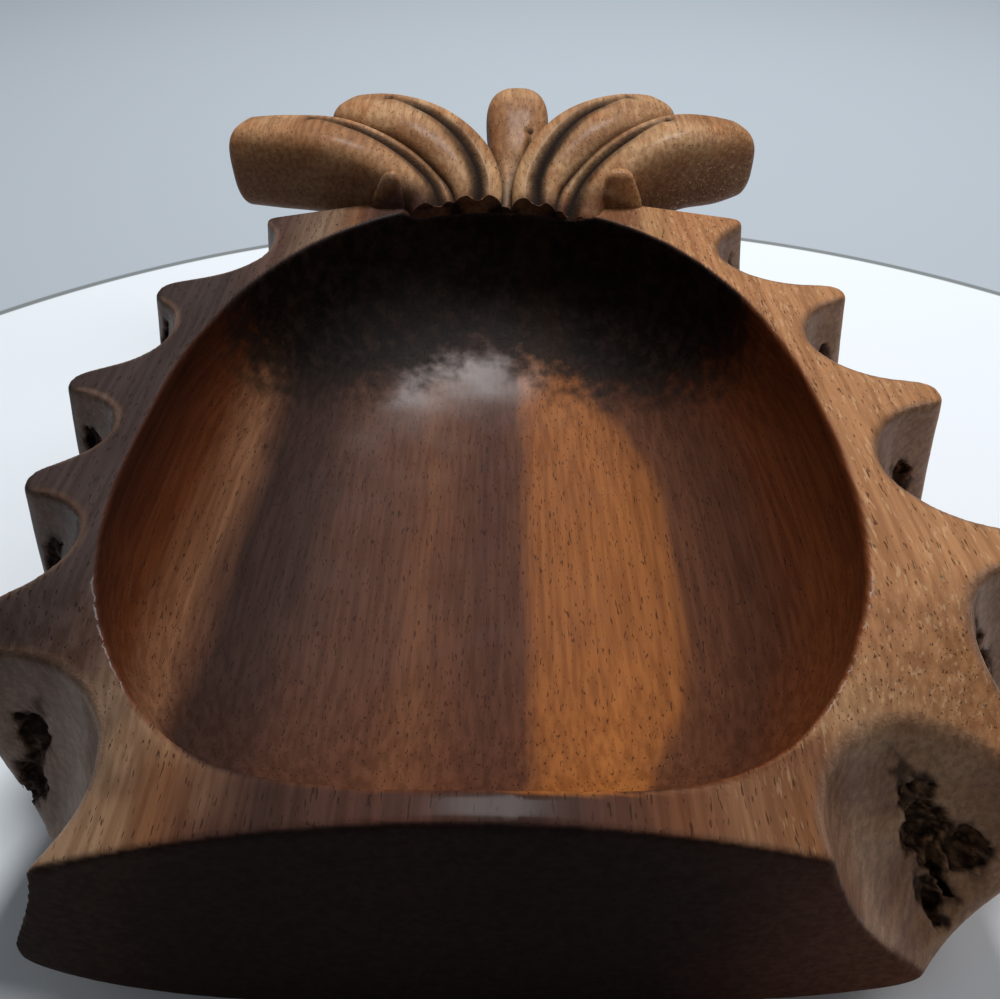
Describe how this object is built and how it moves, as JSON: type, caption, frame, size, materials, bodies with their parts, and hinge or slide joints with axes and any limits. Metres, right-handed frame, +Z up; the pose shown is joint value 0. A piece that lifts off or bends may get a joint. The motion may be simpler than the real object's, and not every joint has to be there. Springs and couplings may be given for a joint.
{
  "type": "carved wooden bowl",
  "caption": "Shallow oval serving bowl carved from hardwood as a pineapple, with gouged scales down both sides and a fan of leaves at one end.",
  "frame": {"origin": "middle of the flat base, on the surface that the bowl stands on", "axes": "+Y along the bowl towards the crown of leaves, +X to the right, +Z up out of the hollow"},
  "size_m": [0.1734, 0.2452, 0.0695],
  "materials": {
    "floor_wood": "oiled, satin gloss",
    "left_wood": "oiled, satin",
    "right_wood": "oiled, satin",
    "front_wood": "oiled, satin",
    "crown_wood": "oiled, satin"
  },
  "bodies": {
    "root": {"bowl_floor": "floor_wood", "scale_right_1": "right_wood", "scale_right_2": "right_wood", "scale_right_3": "right_wood", "scale_right_4": "right_wood", "scale_right_5": "right_wood", "scale_left_1": "left_wood", "scale_left_2": "left_wood", "scale_left_3": "left_wood", "scale_left_4": "left_wood", "scale_left_5": "left_wood", "front_wall": "front_wood", "crown_neck": "crown_wood", "leaf_centre": "crown_wood", "leaf_inner_right": "crown_wood", "leaf_inner_left": "crown_wood", "leaf_outer_right": "crown_wood", "leaf_outer_left": "crown_wood", "bract_right": "crown_wood", "bract_left": "crown_wood"}
  },
  "joints": []
}
